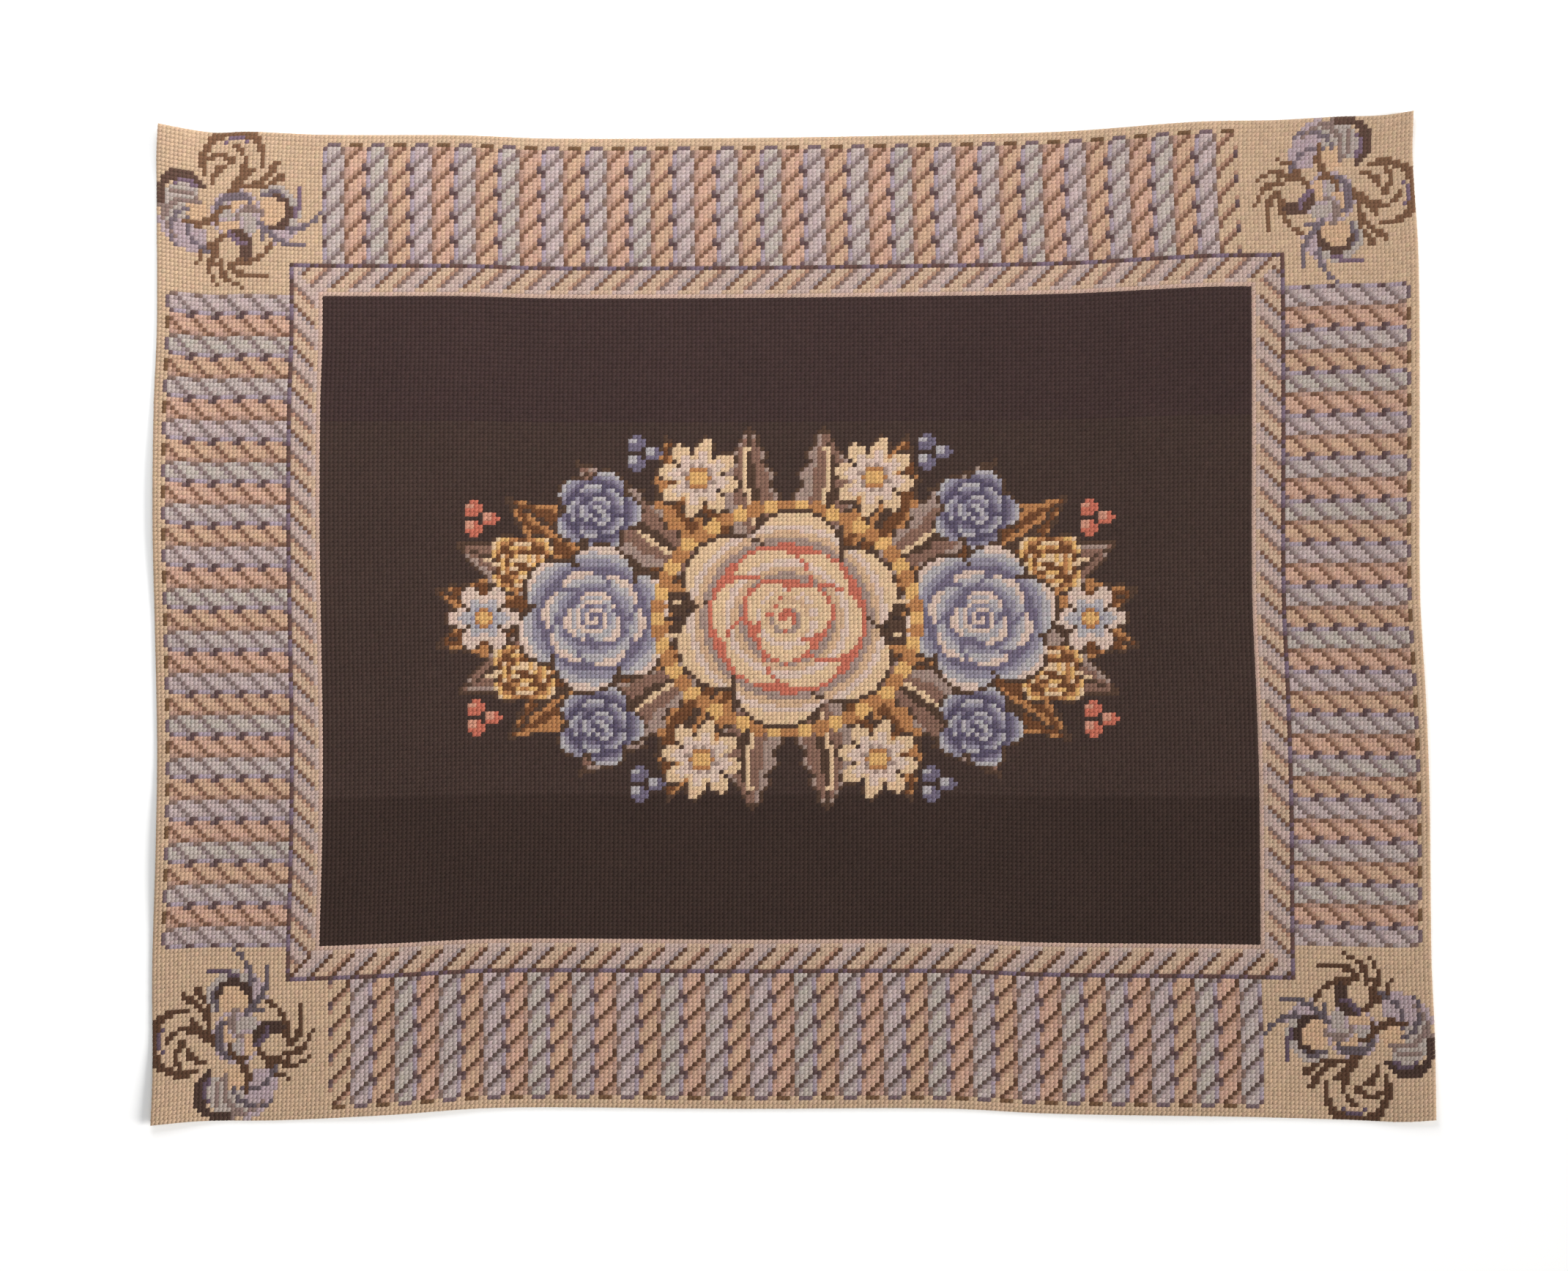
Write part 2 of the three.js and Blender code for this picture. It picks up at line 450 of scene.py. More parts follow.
@dataclass(frozen=True)
class RopeBorder:
    """Banks of twisted ropes that run in from the rug's four edges."""

    width: int = 5
    lay: int = 6
    length: int = 30
    margin: int = 2
    # the row of each mark of one strand's line, in the order of the columns
    mark_rows: tuple[int, ...] = (0, 0, 1, 2, 3, 4, 4)
    # dye lots that the ropes of a sort take in turn, each a yarn and its lighter one
    cool_lots: tuple = ((Yarn.ROPE_MAUVE, Yarn.ROPE_MAUVE_LIGHT), (Yarn.ROPE_SAGE, Yarn.ROPE_SAGE_LIGHT),
                        (Yarn.ROPE_COOL, Yarn.ROPE_COOL_LIGHT))
    tan_lots: tuple = ((Yarn.ROPE_TAN, Yarn.ROPE_PEACH), (Yarn.ROPE_SAND, Yarn.ROPE_SAND_LIGHT))

    def tile(self, number: int, tone: RopeTone, outline_only: bool, deep: bool) -> Array:
        """Chart one lay of a level rope.

        Args:
            number: the rope's place in its bank.
            tone: the sort of rope.
            outline_only: leave the rope's body in the plain yarn.
            deep: work its lines in the darker yarns.

        Returns:
            Yarn numbers, a row for each stitch of the rope's width.
        """
        lots = self.cool_lots if tone is RopeTone.COOL else self.tan_lots
        plain, light = lots[number // 2 % len(lots)]
        if tone is RopeTone.COOL:
            start = 1
            soft = Yarn.ROPE_COOL_SOFT
            line = Yarn.ROPE_COOL_DEEP if deep else Yarn.ROPE_COOL_LINE
            body = (plain, light, light, plain, Yarn.ROPE_LAVENDER)
            marks = (Yarn.ROPE_COOL_TOP, Yarn.ROPE_COOL_TOP, line, line, line, Yarn.ROPE_KNOT_DARK,
                     Yarn.ROPE_KNOT)
        else:
            start = -1
            soft = Yarn.ROPE_TAN_SOFT
            line = Yarn.ROPE_TAN_DEEP if deep else Yarn.ROPE_TAN_LINE
            body = (plain, plain, light, plain, Yarn.ROPE_TAN_SHADE)
            marks = (Yarn.ROPE_KNOT, Yarn.ROPE_KNOT_DARK, line, line, line, line, line)
        if outline_only:
            body = (Yarn.TAN,) * self.width
        tile = np.repeat([[yarn.number] for yarn in body], self.lay, axis=1)
        for step, row in enumerate(self.mark_rows):
            tile[row, (start + step - 1) % self.lay] = soft.number
        for step, (row, yarn) in enumerate(zip(self.mark_rows, marks)):
            tile[row, (start + step) % self.lay] = yarn.number
        return tile

    def bank(self, count: int, first: RopeTone, deep: bool = False) -> Array:
        """Chart level ropes one under the other, their outer ends at the left.

        Args:
            count: how many ropes.
            first: the sort of the uppermost; the sorts take turns.
            deep: work their lines in the darker yarns.

        Returns:
            Yarn numbers.
        """
        ropes = []
        for number in range(count):
            cool = (first is RopeTone.COOL) == (number % 2 == 0)
            tone = RopeTone.COOL if cool else RopeTone.TAN
            tile = self.tile(number, tone, first is RopeTone.TAN and number == 0, deep)
            rope = np.tile(tile, (1, self.length // self.lay))
            rope[:, 0] = Yarn.TAN.number
            rope[1:self.width - 1, 0] = (Yarn.ROPE_COOL_CAP if cool else Yarn.ROPE_TAN_CAP).number
            ropes.append(rope)
        return np.vstack(ropes)

    def paint(self, chart: Chart, grid: StitchGrid) -> None:
        """Work the four banks; each is the left one turned by quarters.

        Args:
            chart: the rug's chart.
            grid: the rug's grid, for where the dark middle ends.
        """
        rows, columns = chart.cells.shape
        sides = self.bank((rows - 2 * grid.frame) // self.width, RopeTone.COOL)
        level_count = (columns - 2 * grid.frame) // self.width
        near = slice(self.margin, self.margin + self.length)
        far = slice(-self.margin - self.length, -self.margin)
        down = slice(grid.frame, grid.frame + sides.shape[0])
        level = level_count * self.width
        last = columns - grid.frame
        chart.cells[down, near] = sides
        chart.cells[down, far] = np.rot90(sides, 2)
        chart.cells[near, grid.frame:grid.frame + level] = np.rot90(self.bank(level_count, RopeTone.TAN), -1)
        chart.cells[far, last - level:last] = np.rot90(self.bank(level_count, RopeTone.TAN, deep=True), 1)


@dataclass(frozen=True)
class CordFrame:
    """The twisted cord around the dark middle, with a dark line outside it and a light line inside."""

    width: int = 6
    lay: int = 5
    # stitches by which each side's lines are shifted along it
    level_shift: int = 1
    left_shift: int = -1
    right_shift: int = -2

    @property
    def whole_width(self) -> int:
        """Stitches across the cord with its two lines."""
        return self.width + 2

    def paint(self, chart: Chart, grid: StitchGrid) -> None:
        """Work the cord, mitred at its corners.

        Args:
            chart: the rug's chart.
            grid: the rug's grid, for where the dark middle ends.
        """
        rows, columns, upright, level = grid.stitches()
        depth = np.minimum(upright, level) - (grid.frame - self.whole_width)
        side_shift = np.where(columns < grid.columns / 2, self.left_shift, self.right_shift)
        phase = np.where(upright <= level, rows + columns + self.level_shift, columns - rows + side_shift)
        cool = (phase // self.lay) % 2 == 1
        step = phase % self.lay
        edge = depth == 0
        cord = (depth > 0) & (depth <= self.width)
        body = cord & (depth < self.width)
        soft = body & (step == self.lay - 1)
        lines = body & (step == 0)
        lower = (upright <= level) & (rows > grid.rows / 2)
        for where, yarn in ((edge & ~cool, Yarn.EDGE_BROWN), (edge & cool, Yarn.EDGE_LAVENDER),
                            (edge & (step == 1), Yarn.EDGE_PLUM), (edge & (step == 0), Yarn.EDGE_DARK),
                            (cord & ~cool, Yarn.CORD_WARM), (cord & cool, Yarn.CORD_COOL),
                            (soft & ~cool, Yarn.ROPE_TAN_SOFT), (soft & cool, Yarn.ROPE_COOL_SOFT),
                            (lines & ~cool, Yarn.CORD_BROWN_LINE), (lines & cool, Yarn.CORD_GREY_LINE),
                            (lines & lower, Yarn.ROPE_TAN_DEEP), (depth == self.width + 1, Yarn.CORD_PINK)):
            chart.fill(where, yarn)


@dataclass(frozen=True)
class DarkGround:
    """The dark middle, whose wool is of three dye lots, one below the other."""

    lots: tuple[Yarn, Yarn, Yarn] = (Yarn.GROUND_UPPER, Yarn.GROUND, Yarn.GROUND_LOWER)
    first_rows: tuple[int, int, int] = (0, 70, 160)

    def paint(self, chart: Chart, grid: StitchGrid) -> None:
        """Work the plain ground within the rug's frame."""
        for yarn, first_row in zip(self.lots, self.first_rows):
            chart.cells[max(first_row, grid.frame):-grid.frame, grid.frame:-grid.frame] = yarn.number


@dataclass(frozen=True)
class CornerLeaves:
    """Four curled leaves about a knot of stems: two rounded shells and two open fans of fingers."""

    size: int = 40
    shell: Place = (6.3, 16.9)
    shell_heart: Place = (9.6, 19.7)
    top_shell: Place = (18.8, 7.1)
    top_heart: Place = (18.2, 10.4)
    side_fan: Place = (28.0, 19.4)
    fan: Place = (17.6, 29.3)
    knot: Place = (19.2, 20.4)
    # yarns that the two lower corners have in place of others
    deepened: tuple = ((Yarn.LEAF_BROWN, Yarn.LEAF_DEEP_BROWN), (Yarn.LEAF_DARK, Yarn.LEAF_DEEP_DARK),
                       (Yarn.LEAF_PURPLE, Yarn.LEAF_DEEP_PURPLE), (Yarn.LEAF_SLATE, Yarn.LEAF_DEEP_SLATE))

    @staticmethod
    def ribs(heart: Place, first: float, step: float, sweep: float, reaches: tuple[float, ...],
             yarns: tuple[Yarn, ...], root: float = 3.0, width: float = 1.2) -> list[Arc]:
        """Give the ribs or fingers of a leaf, which all bend the same way as they leave its heart.

        Args:
            heart: the point that they turn about.
            first: the angle at which the first starts, in degrees.
            step: degrees from one to the next.
            sweep: degrees that each turns on its way out.
            reaches: how far out each ends.
            yarns: the yarn of each; the last serves the rest.
            root: how far out they start.
            width: their width at the root.

        Returns:
            The ribs, counter-clockwise.
        """
        arcs = []
        for number, reach in enumerate(reaches):
            angle = first + step * number
            yarn = yarns[min(number, len(yarns) - 1)]
            arcs.append(Arc(yarn, heart, (angle, angle + sweep), (root, reach), (width, 1.3, 1)))
        return arcs

    def shell_lines(self) -> list[Arc]:
        """Give the lines of the grey rounded leaf at the left."""
        yarns = (Yarn.LEAF_TAUPE, Yarn.LEAF_TAUPE, Yarn.LEAF_SLATE)
        return self.ribs(self.shell_heart, 82, 46, 66, (7.2, 7.8, 10.6, 10), yarns, root=2.4) + [
            Arc(Yarn.LEAF_TAUPE, (12.6, 17.8), (178, 226), (11.7, 12), (1, 1.2, 1)),
            Arc(Yarn.LEAF_PURPLE, self.shell, (122, 38), (4.3, 4.9), (1, 2.2, 1)),
            Arc(Yarn.LEAF_DARK, self.shell, (194, 34), (5.4, 6), (1.4, 2.6, 1.2)),
            Arc(Yarn.LEAF_BROWN, (9.6, 16.8), (-116, -18), (6.2, 5.7), (1, 1.8, 1.6)),
        ]

    def top_lines(self) -> list[Arc]:
        """Give the lines of the brown rounded leaf at the top."""
        return self.ribs(self.top_heart, 24, 62, 60, (7, 7, 5.2), (Yarn.LEAF_BROWN,), width=2) + [
            Arc(Yarn.LEAF_BROWN, (26.2, 17.2), (160, 106), (8.2, 8.2), (2.4, 2.4, 1)),
            Arc(Yarn.LEAF_BROWN, (18.8, 2.4), (-84, -28), (11.6, 11.4), (1.2, 1.4, 1.8)),
            Arc(Yarn.LEAF_BROWN, (22, 3.4), (-80, -40), (10.8, 11), (1, 1.2, 1.8)),
            Arc(Yarn.LEAF_PURPLE, self.top_shell, (114, 60), (5.3, 5.7), (0.8, 1.6, 0.8)),
            Arc(Yarn.LEAF_BROWN, self.top_shell, (206, -14), (7.8, 6.8), (1.4, 2.8, 1.4)),
        ]

    def fan_lines(self) -> list[Arc]:
        """Give the fingers and dark folds of the two open leaves."""
        reaches = (8.6, 8.8, 9.4, 11, 10)
        lower = self.ribs(self.fan, 150, 41, 56, reaches, (Yarn.LEAF_BROWN,), root=3.6, width=2)
        yarns = (Yarn.LEAF_SLATE, Yarn.LEAF_SLATE, Yarn.LEAF_PURPLE)
        side = self.ribs(self.side_fan, -104, 46, 58, (10.6, 11.4, 8.8), yarns, root=4.6, width=1.8)
        return lower + side + [
            Arc(Yarn.LEAF_DARK, self.fan, (70, -18), (4.4, 3.8), (2.2, 4, 2.2)),
            Arc(Yarn.LEAF_BROWN, self.fan, (160, 112), (3.6, 4), (1.8, 1.6, 1)),
            Arc(Yarn.LEAF_DARK, self.side_fan, (76, -100), (3.9, 4.1), (1.2, 2, 1.2)),
            Arc(Yarn.LEAF_SLATE, self.side_fan, (118, 60), (4.3, 5), (1, 1.4, 1)),
        ]

    def knot_lines(self) -> list[Arc]:
        """Give the stems that cross between the leaves."""
        x, y = self.knot
        crossing = (x + 2.5, y + 2.8)
        return [
            Arc(Yarn.LEAF_SLATE, self.knot, (44, 166), (4.6, 5.2), (1.4, 2, 1.2)),
            Arc(Yarn.LEAF_TAUPE, crossing, (37, 150), (5.2, 3), (1.4, 1.2, 1)),
            Arc(Yarn.LEAF_SLATE, crossing, (-40, 20), (4.6, 3.2), (1.4, 1.4, 1)),
            Arc(Yarn.LEAF_BROWN, (x - 1.6, y + 1.6), (196, 96), (3.4, 3.6), (1, 1.4, 1)),
            Arc(Yarn.LEAF_PURPLE, crossing, (200, 262), (4.6, 4.2), (1, 1.4, 1)),
        ]

    def grounds(self, chart: Chart) -> None:
        """Work the leaves' plain insides, under their lines.

        Args:
            chart: the corner's chart.
        """
        # the angle, in degrees, from which turns are counted, then each patch's yarn, reach and turns
        hearts = ((self.shell_heart, 0, ((Yarn.LEAF_GREY, 8.6, 84, 250), (Yarn.LEAF_LAVENDER, 10.2, 196, 292),
                                         (Yarn.LEAF_GREY, 8.4, 168, 214), (Yarn.LEAF_PEACH, 3, -1, 361))),
                  (self.side_fan, 180, ((Yarn.LEAF_LAVENDER, 8.2, 86, 160), (Yarn.LEAF_GREY, 6.6, 130, 300),
                                        (Yarn.LEAF_PEACH, 3.6, -1, 361))))
        for heart, start, patches in hearts:
            radius, angle = chart.polar(heart)
            turn = (np.degrees(angle) + start) % 360
            for yarn, reach, low, high in patches:
                chart.fill((radius < reach) & (turn > low) & (turn < high), yarn)
        radius, angle = chart.polar(self.knot)
        swirl = np.sin(2 * angle + radius * 0.7)
        chart.fill(radius < 6.2, Yarn.LEAF_LAVENDER)
        chart.fill((radius < 6) & (swirl > 0.35), Yarn.LEAF_GREY)
        chart.fill((radius < 5.2) & (swirl < -0.5), Yarn.LEAF_PEACH)

    def tile(self) -> Array:
        """Chart the top left corner.

        Returns:
            Yarn numbers, as many rows as columns.
        """
        chart = Chart(self.size, self.size, Yarn.TAN)
        self.grounds(chart)
        for arc in self.fan_lines() + self.shell_lines() + self.top_lines() + self.knot_lines():
            chart.line(arc)
        return chart.cells

    def paint(self, chart: Chart, free: int) -> None:
        """Work the four corners, each the first one turned by quarters.

        Args:
            chart: the rug's chart.
            free: stitches from the edge to the cord's dark line, which the corners don't cover.
        """
        upper = self.tile()
        lower = upper.copy()
        for yarn, deep in self.deepened:
            lower[upper == yarn.number] = deep.number
        own = np.ones(upper.shape, bool)
        own[free:, free:] = False
        near = slice(0, self.size)
        far = slice(-self.size, None)
        for quarter, (rows, columns) in enumerate(((near, near), (near, far), (far, far), (far, near))):
            mask = np.rot90(own, -quarter)
            tile = lower if rows is far else upper
            chart.cells[rows, columns][mask] = np.rot90(tile, -quarter)[mask]


@dataclass(frozen=True)
class FlowerOval:
    """The middle's oval of flowers and leaves, the same on both sides and above and below."""

    reach: float = 80
    rise: float = 46
    bead_ring: tuple[float, float] = (29.5, 27)
    bead_reach: float = 1.9
    beads: int = 52
    # the angles from the oval's side to its top at which leaves point, in degrees, the widest one's width,
    # how far each bows, and where it starts as shares of the way to its tip
    leaf_angles: tuple[int, ...] = (8, 22, 38, 54, 70, 84)
    leaf_width: float = 19
    leaf_bend: float = 3
    leaf_foot: tuple[float, float] = (0.3, 0.2)

    def paint(self, chart: Chart) -> None:
        """Work the oval; places are stitches from the rug's middle.

        Args:
            chart: the rug's chart, with its places counted from the middle.
        """
        cream = (Yarn.CREAM, Yarn.CREAM, Yarn.BLUSH, Yarn.LEAF_PEACH, Yarn.SMOKE, Yarn.CORAL)
        pale = (Yarn.BLUSH, Yarn.ICE, Yarn.PERIWINKLE, Yarn.SLATE)
        blue = (Yarn.ICE, Yarn.PERIWINKLE, Yarn.SLATE, Yarn.INDIGO)
        warm = (Yarn.CREAM, Yarn.GOLD, Yarn.OCHRE, Yarn.CHESTNUT)
        quarters = [(side, end) for side in (-1, 1) for end in (-1, 1)]
        for side, end in quarters:
            self.leaves(chart, side, end)
        for side, end in quarters:
            chart.rose((side * 60, end * 13), 8, warm, 4, 0.8)
            chart.rose((side * 43, end * 26), 9.5, blue, 5, 1.2)
            chart.daisy((side * 20, end * 34), 9.5, (Yarn.CREAM, Yarn.BLUSH, Yarn.SMOKE), 8, 0.2)
        for side in (-1, 1):
            chart.daisy((side * 69, 0), 8, (Yarn.BLUSH, Yarn.ICE, Yarn.PERIWINKLE), 6, 0)
            chart.rose((side * 44, 0), 17, pale, 6, 0.3 + side)
        for number in range(self.beads):
            angle = 2 * math.pi * number / self.beads
            place = (self.bead_ring[0] * math.cos(angle), self.bead_ring[1] * math.sin(angle))
            chart.fill(chart.polar(place)[0] <= self.bead_reach, Yarn.OCHRE if number % 2 else Yarn.GOLD)
        chart.rose((0, 0), 25, cream, 6, 0.4)

    def leaves(self, chart: Chart, side: int, end: int) -> None:
        """Work one quarter's leaves, from the tip of the oval to its middle.

        Args:
            chart: the rug's chart.
            side: 1 for the right half, -1 for the left.
            end: 1 for the lower half, -1 for the upper.
        """
        brown = (Yarn.OCHRE, Yarn.CHESTNUT, Yarn.UMBER, Yarn.OCHRE)
        grey = (Yarn.SMOKE, Yarn.TAUPE, Yarn.UMBER, Yarn.CREAM)
        for number, angle in enumerate(self.leaf_angles):
            way = math.radians(angle)
            tip = (side * self.reach * math.cos(way), end * self.rise * math.sin(way))
            base = (tip[0] * self.leaf_foot[0], tip[1] * self.leaf_foot[1])
            bend = side * end * self.leaf_bend
            chart.leaf(base, tip, self.leaf_width - number, bend, grey if number % 2 else brown)
        chart.berries((side * 70, end * 24), Yarn.CORAL, Yarn.ROSE)
        chart.berries((side * 33, end * 40), Yarn.SLATE, Yarn.ICE)


@dataclass(frozen=True)
class RugChart:
    """The whole rug's chart, put together from its parts."""

    grid: StitchGrid = StitchGrid()
    ropes: RopeBorder = RopeBorder()
    cord: CordFrame = CordFrame()
    ground: DarkGround = DarkGround()
    corners: CornerLeaves = CornerLeaves()
    oval: FlowerOval = FlowerOval()

    def cells(self) -> Array:
        """Work the chart.

        Returns:
            Yarn numbers by row and column.
        """
        middle = (self.grid.columns / 2, self.grid.rows / 2)
        chart = Chart(self.grid.rows, self.grid.columns, Yarn.TAN, middle)
        for part in (self.cord, self.ground, self.ropes):
            part.paint(chart, self.grid)
        self.corners.paint(chart, self.grid.frame - self.cord.whole_width)
        self.oval.paint(chart)
        return chart.cells


class Region(Enum):
    """The parts of the worked face that are separate pieces here."""

    UPPER_GROUND = "upper_ground"
    LOWER_GROUND = "lower_ground"
    FLOWER_OVAL = "flower_oval"
    CORD = "cord"
    LEFT_ROPES = "left_ropes"
    RIGHT_ROPES = "right_ropes"
    TOP_ROPES = "top_ropes"
    BOTTOM_ROPES = "bottom_ropes"
    CORNERS = "corners"


@dataclass(frozen=True)
class StitchForm:
    """One cross-stitch: a plump upper leg of eight faces laid over an under leg of four."""

    leg_width: float = 0.76
    crest: float = 1.05 * MM
    under_crest: float = 0.6 * MM
    sink: float = 0.15 * MM
    # shares of the cell: where a leg's ends lie, and where the upper leg's crest does
    ends: tuple[float, float] = (-0.03, 1.03)
    crest_ends: tuple[float, float] = (0.27, 0.73)

    def template(self) -> tuple[Array, ...]:
        """Give the stitch in its own cell.

        Returns:
            Places in the cell (share right, share up), heights above the canvas, triangles, and for each
            point how far it lies along its leg, across it, and which leg it is on.
        """
        half = self.leg_width / 2 / math.sqrt(2)
        low, high = self.ends
        near, far = self.crest_ends
        places = [(low, low), (near - half, near + half), (far - half, far + half), (high, high),
                  (far + half, far - half), (near + half, near - half), (near, near), (far, far),
                  (high, low), (0.5 + half, 0.5 + half), (low, high), (0.5 - half, 0.5 - half), (0.5, 0.5)]
        heights = [-self.sink, 0, 0, -self.sink, 0, 0, self.crest, self.crest,
                   -self.sink, 0, -self.sink, 0, self.under_crest]
        faces = [(0, 5, 6), (5, 4, 7), (5, 7, 6), (4, 3, 7), (3, 2, 7), (2, 1, 6), (2, 6, 7), (1, 0, 6),
                 (8, 9, 12), (9, 10, 12), (10, 11, 12), (11, 8, 12)]
        lay = [(0, 0, 0), (near, 1, 0), (far, 1, 0), (1, 0, 0), (far, -1, 0), (near, -1, 0), (near, 0, 0),
               (far, 0, 0), (0, 0, 1), (0.5, -1, 1), (1, 0, 1), (0.5, 1, 1), (0.5, 0, 1)]
        return np.array(places), np.array(heights), np.array(faces), np.array(lay, float)


def new_mesh(name: str, points: Array, faces: Array) -> bpy.types.Mesh:
    """Make a smooth mesh from arrays.

    Args:
        name: the mesh's name.
        points: places in metres.
        faces: triangles or quads as point numbers.

    Returns:
        The mesh.
    """
    mesh = bpy.data.meshes.new(name)
    mesh.vertices.add(len(points))
    mesh.vertices.foreach_set("co", points.astype(np.float32).ravel())
    mesh.loops.add(faces.size)
    mesh.loops.foreach_set("vertex_index", faces.astype(np.int32).ravel())
    mesh.polygons.add(len(faces))
    mesh.polygons.foreach_set("loop_start", np.arange(0, faces.size, faces.shape[1], dtype=np.int32))
    mesh.update(calc_edges=True)
    mesh.shade_smooth()
    return mesh


def grid_faces(number: Array) -> Array:
    """Join a grid of point numbers, whose rows run from top to bottom, into quads that face up."""
    corners = [number[1:, :-1], number[1:, 1:], number[:-1, 1:], number[:-1, :-1]]
    return np.stack(corners, axis=-1).reshape(-1, 4)


def dress_wool(mesh: bpy.types.Mesh, points: Array, colours: Array, lay: Array) -> None:
    """Give a mesh of stitches a flat texture map, seen from above, and what its wool needs at each point.

    Args:
        mesh: the mesh.
        points: its points' places.
        colours: linear red, green and blue.
        lay: how far a point lies along its leg, across it, and which leg it is on.
    """
    margin = 0.002
    low = points[:, :2].min(axis=0)
    size = points[:, :2].max(axis=0) - low
    corners = np.empty(len(mesh.loops), np.int32)
    mesh.loops.foreach_get("vertex_index", corners)
    flat = (points[corners, :2] - low) / size * (1 - 2 * margin) + margin
    mesh.uv_layers.new(name="OFBake").data.foreach_set("uv", flat.astype(np.float32).ravel())
    whole = np.ones((len(colours), 4), np.float32)
    whole[:, :3] = colours
    layer = mesh.color_attributes.new(name="yarn", type="FLOAT_COLOR", domain="POINT")
    layer.data.foreach_set("color", whole.ravel())
    layer = mesh.attributes.new("lay", "FLOAT_VECTOR", "POINT")
    layer.data.foreach_set("vector", lay.astype(np.float32).ravel())


def add_object(data: bpy.types.ID, material: bpy.types.Material | None = None) -> bpy.types.Object:
    """Put a mesh, a light or a camera into the scene.

    Args:
        data: what is put there, in the model's own frame.
        material: a mesh's finish.

    Returns:
        The object, at the origin and with its data's name.
    """
    added = bpy.data.objects.new(data.name, data)
    if material:
        data.materials.append(material)
    bpy.context.scene.collection.objects.link(added)
    return added


class NodeSheet:
    """Short calls for building a node tree."""

    def __init__(self, tree: bpy.types.NodeTree) -> None:
        """Start on a tree."""
        self.tree = tree

    def give(self, node: bpy.types.Node, inputs: dict) -> None:
        """Set a node's inputs.

        Args:
            node: the node.
            inputs: values or sockets, by the input's name or number.
        """
        for key, value in inputs.items():
            if isinstance(value, Socket):
                self.tree.links.new(value, node.inputs[key])
            else:
                node.inputs[key].default_value = value

    def add(self, kind: str, inputs: dict | None = None, **settings: object) -> bpy.types.Node:
        """Add a node.

        Args:
            kind: the node's type name.
            inputs: as for give.
            settings: its properties.

        Returns:
            The node.
        """
        node = self.tree.nodes.new(kind)
        for name, value in settings.items():
            setattr(node, name, value)
        self.give(node, inputs or {})
        return node

    def maths(self, operation: str, *values: object) -> Socket:
        """Add a Math node and give its result."""
        return self.add("ShaderNodeMath", dict(enumerate(values)), operation=operation).outputs[0]

    def noise(self, scale: float, **inputs: object) -> Socket:
        """Add a noise texture and give its value."""
        return self.add("ShaderNodeTexNoise", {"Scale": scale, **inputs}).outputs["Fac"]

    def mix(self, factor: object, first: object, second: object) -> Socket:
        """Add a mix of two colours and give its result."""
        inputs = {"Factor": factor, "A": first, "B": second}
        return self.add("ShaderNodeMix", inputs, data_type="RGBA").outputs["Result"]

    def layer(self, name: str, output: str) -> Socket:
        """Read one of the mesh's own layers."""
        return self.add("ShaderNodeAttribute", attribute_name=name, attribute_type="GEOMETRY").outputs[output]


class MaterialSheet(NodeSheet):
    """A new matt material, its shader and its node tree."""

    def __init__(self, name: str, roughness: float, specular: float = 0.2) -> None:
        """Start the material.

        Args:
            name: its name.
            roughness: its roughness.
            specular: its specular level.
        """
        self.material = bpy.data.materials.new(name)
        self.material.use_nodes = True
        super().__init__(self.material.node_tree)
        self.shader = self.tree.nodes["Principled BSDF"]
        self.give(self.shader, {"Roughness": roughness, "Specular IOR Level": specular})

    def finish(self, colour: object, height: Socket, strength: float,
               distance: float) -> bpy.types.Material:
        """Give the shader its colour and its bump.

        Args:
            colour: a socket or a linear colour.
            height: the bump's height.
            strength: the bump's strength.
            distance: the bump's depth in metres.

        Returns:
            The material.
        """
        bump = self.add("ShaderNodeBump", {"Height": height, "Strength": strength, "Distance": distance})
        self.give(self.shader, {"Base Color": colour, "Normal": bump.outputs[0]})
        return self.material


def wool_ply_group() -> bpy.types.NodeTree:
    """Build the effect that all the wool shares: plies twisted along each leg, loose fibres and heather.

    Returns:
        The node group, with a height in millimetres and a shade about 1.
    """
    group = bpy.data.node_groups.new("wool ply", "ShaderNodeTree")
    for name, default in (("Plies", 3.0), ("Twist", 0.5), ("Fuzz", 0.5), ("Heather", 0.1)):
        socket = group.interface.new_socket(name=name, in_out="INPUT", socket_type="NodeSocketFloat")
        socket.default_value = default
    for name in ("Height", "Shade"):
        group.interface.new_socket(name=name, in_out="OUTPUT", socket_type="NodeSocketFloat")
    sheet = NodeSheet(group)
    given = sheet.add("NodeGroupInput").outputs
    parts = sheet.add("ShaderNodeSeparateXYZ", {0: sheet.layer("lay", "Vector")}).outputs
    across = sheet.maths("MULTIPLY", parts[1], given["Twist"])
    turn = sheet.maths("MULTIPLY_ADD", parts[0], given["Plies"], across)
    ply = sheet.maths("SINE", sheet.maths("MULTIPLY", turn, 2 * math.pi))
    place = sheet.add("ShaderNodeTexCoord").outputs["Object"]
    # noise as fine as clumps of wool, as broad as patches of the rug and as fine as single fibres
    noises = (sheet.noise(420.0, Vector=place, Detail=2.0), sheet.noise(14.0, Vector=place, Detail=2.0),
              sheet.noise(2600.0, Vector=place, Detail=3.0, Roughness=0.6))
    clumps, broad, fibres = (sheet.maths("SUBTRACT", noise, 0.5) for noise in noises)
    height = sheet.maths("MULTIPLY_ADD", ply, 0.4, sheet.maths("MULTIPLY", fibres, given["Fuzz"]))
    mixed = sheet.maths("ADD", sheet.maths("MULTIPLY", clumps, 1.2), sheet.maths("MULTIPLY", broad, 0.9))
    mixed = sheet.maths("ADD", mixed, sheet.maths("MULTIPLY", fibres, 0.8))
    shade = sheet.maths("MULTIPLY_ADD", mixed, given["Heather"], 1.0)
    sheet.add("NodeGroupOutput", {"Height": height, "Shade": shade})
    return group


